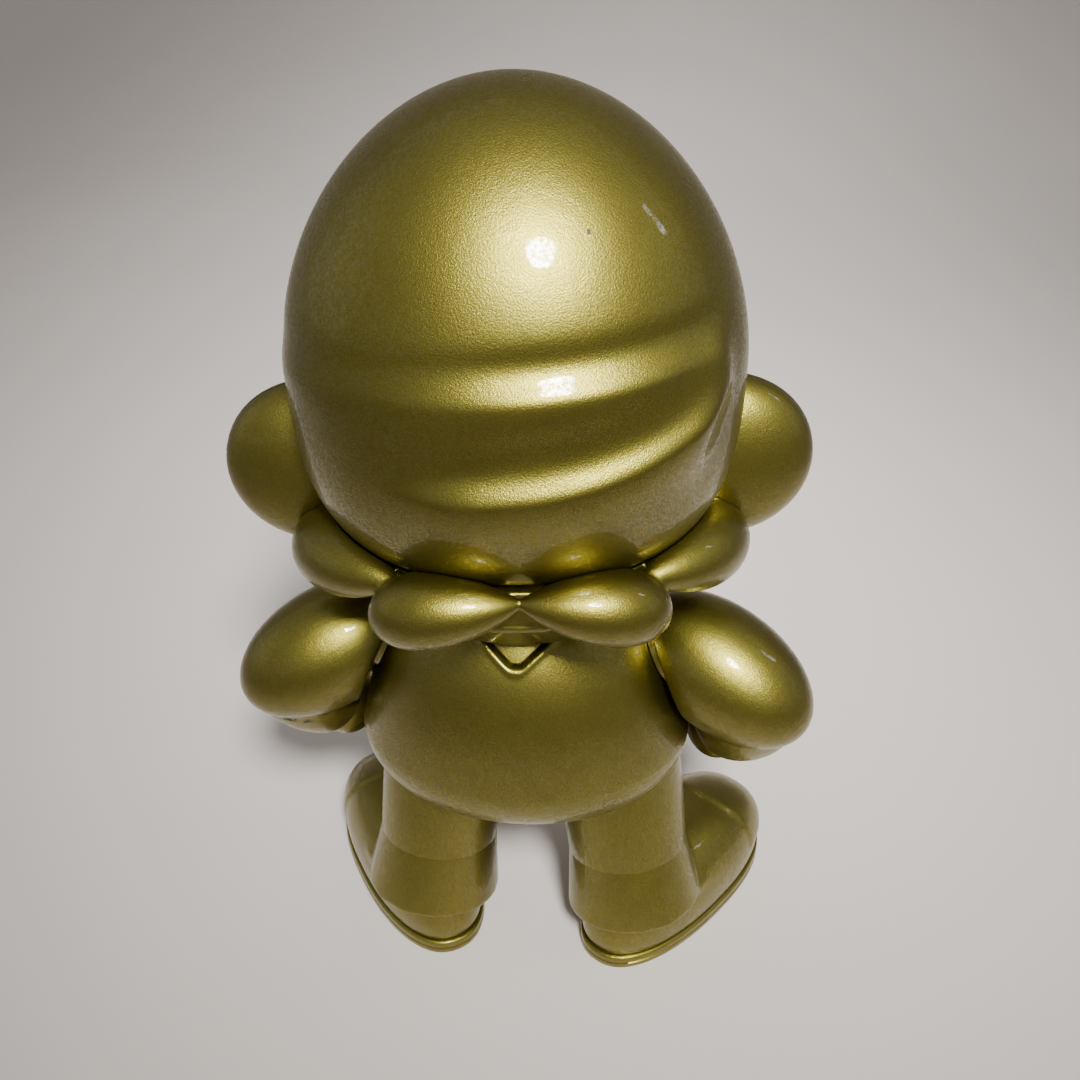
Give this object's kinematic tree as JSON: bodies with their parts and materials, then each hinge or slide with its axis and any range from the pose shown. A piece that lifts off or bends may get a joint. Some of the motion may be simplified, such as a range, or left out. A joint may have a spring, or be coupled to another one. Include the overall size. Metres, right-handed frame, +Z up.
{
  "type": "standing doll figure",
  "caption": "Gold-sprayed vinyl doll in a smooth bonnet and scalloped ruff, hands on hips; its head turns and its arms swing forward.",
  "frame": {"origin": "on the floor, at the middle of the figure's box seen from above", "axes": "+Z up; the doll faces -Y; its left side is +X"},
  "size_m": [0.153, 0.1002, 0.237],
  "materials": {
    "gold_paint": "metallic gold spray paint under clear gloss, on vinyl",
    "dark_vinyl": "bare dark brown moulded vinyl"
  },
  "bodies": {
    "trunk": {"torso_shell": "gold_paint", "undershirt_panel": "gold_paint", "leg_left": "gold_paint", "leg_right": "gold_paint", "hip_plug_left": "dark_vinyl", "hip_plug_right": "dark_vinyl", "shoe_left": "gold_paint", "shoe_right": "gold_paint", "outsole_left": "gold_paint", "outsole_right": "gold_paint"},
    "head": {"head_shell": "gold_paint", "bonnet": "gold_paint", "ear_left": "gold_paint", "ear_right": "gold_paint", "scalloped_ruff": "gold_paint", "neck_post": "dark_vinyl"},
    "left_arm": {"arm_left": "gold_paint", "hand_left": "gold_paint", "shoulder_plug_left": "dark_vinyl"},
    "right_arm": {"arm_right": "gold_paint", "hand_right": "gold_paint", "shoulder_plug_right": "dark_vinyl"}
  },
  "joints": [
    {"name": "neck_turn", "type": "hinge", "parent": "trunk", "child": "head", "pos_m": [0, 0, 0.1136], "axis": [0, 0, 1], "continuous": true},
    {"name": "shoulder_swing_left", "type": "hinge", "parent": "trunk", "child": "left_arm", "pos_m": [0.0355, 0, 0.096], "axis": [-0.9135, 0, -0.4067], "range_deg": [0, 60]},
    {"name": "shoulder_swing_right", "type": "hinge", "parent": "trunk", "child": "right_arm", "pos_m": [-0.0355, 0, 0.096], "axis": [-0.9135, 0, 0.4067], "range_deg": [0, 60]}
  ]
}
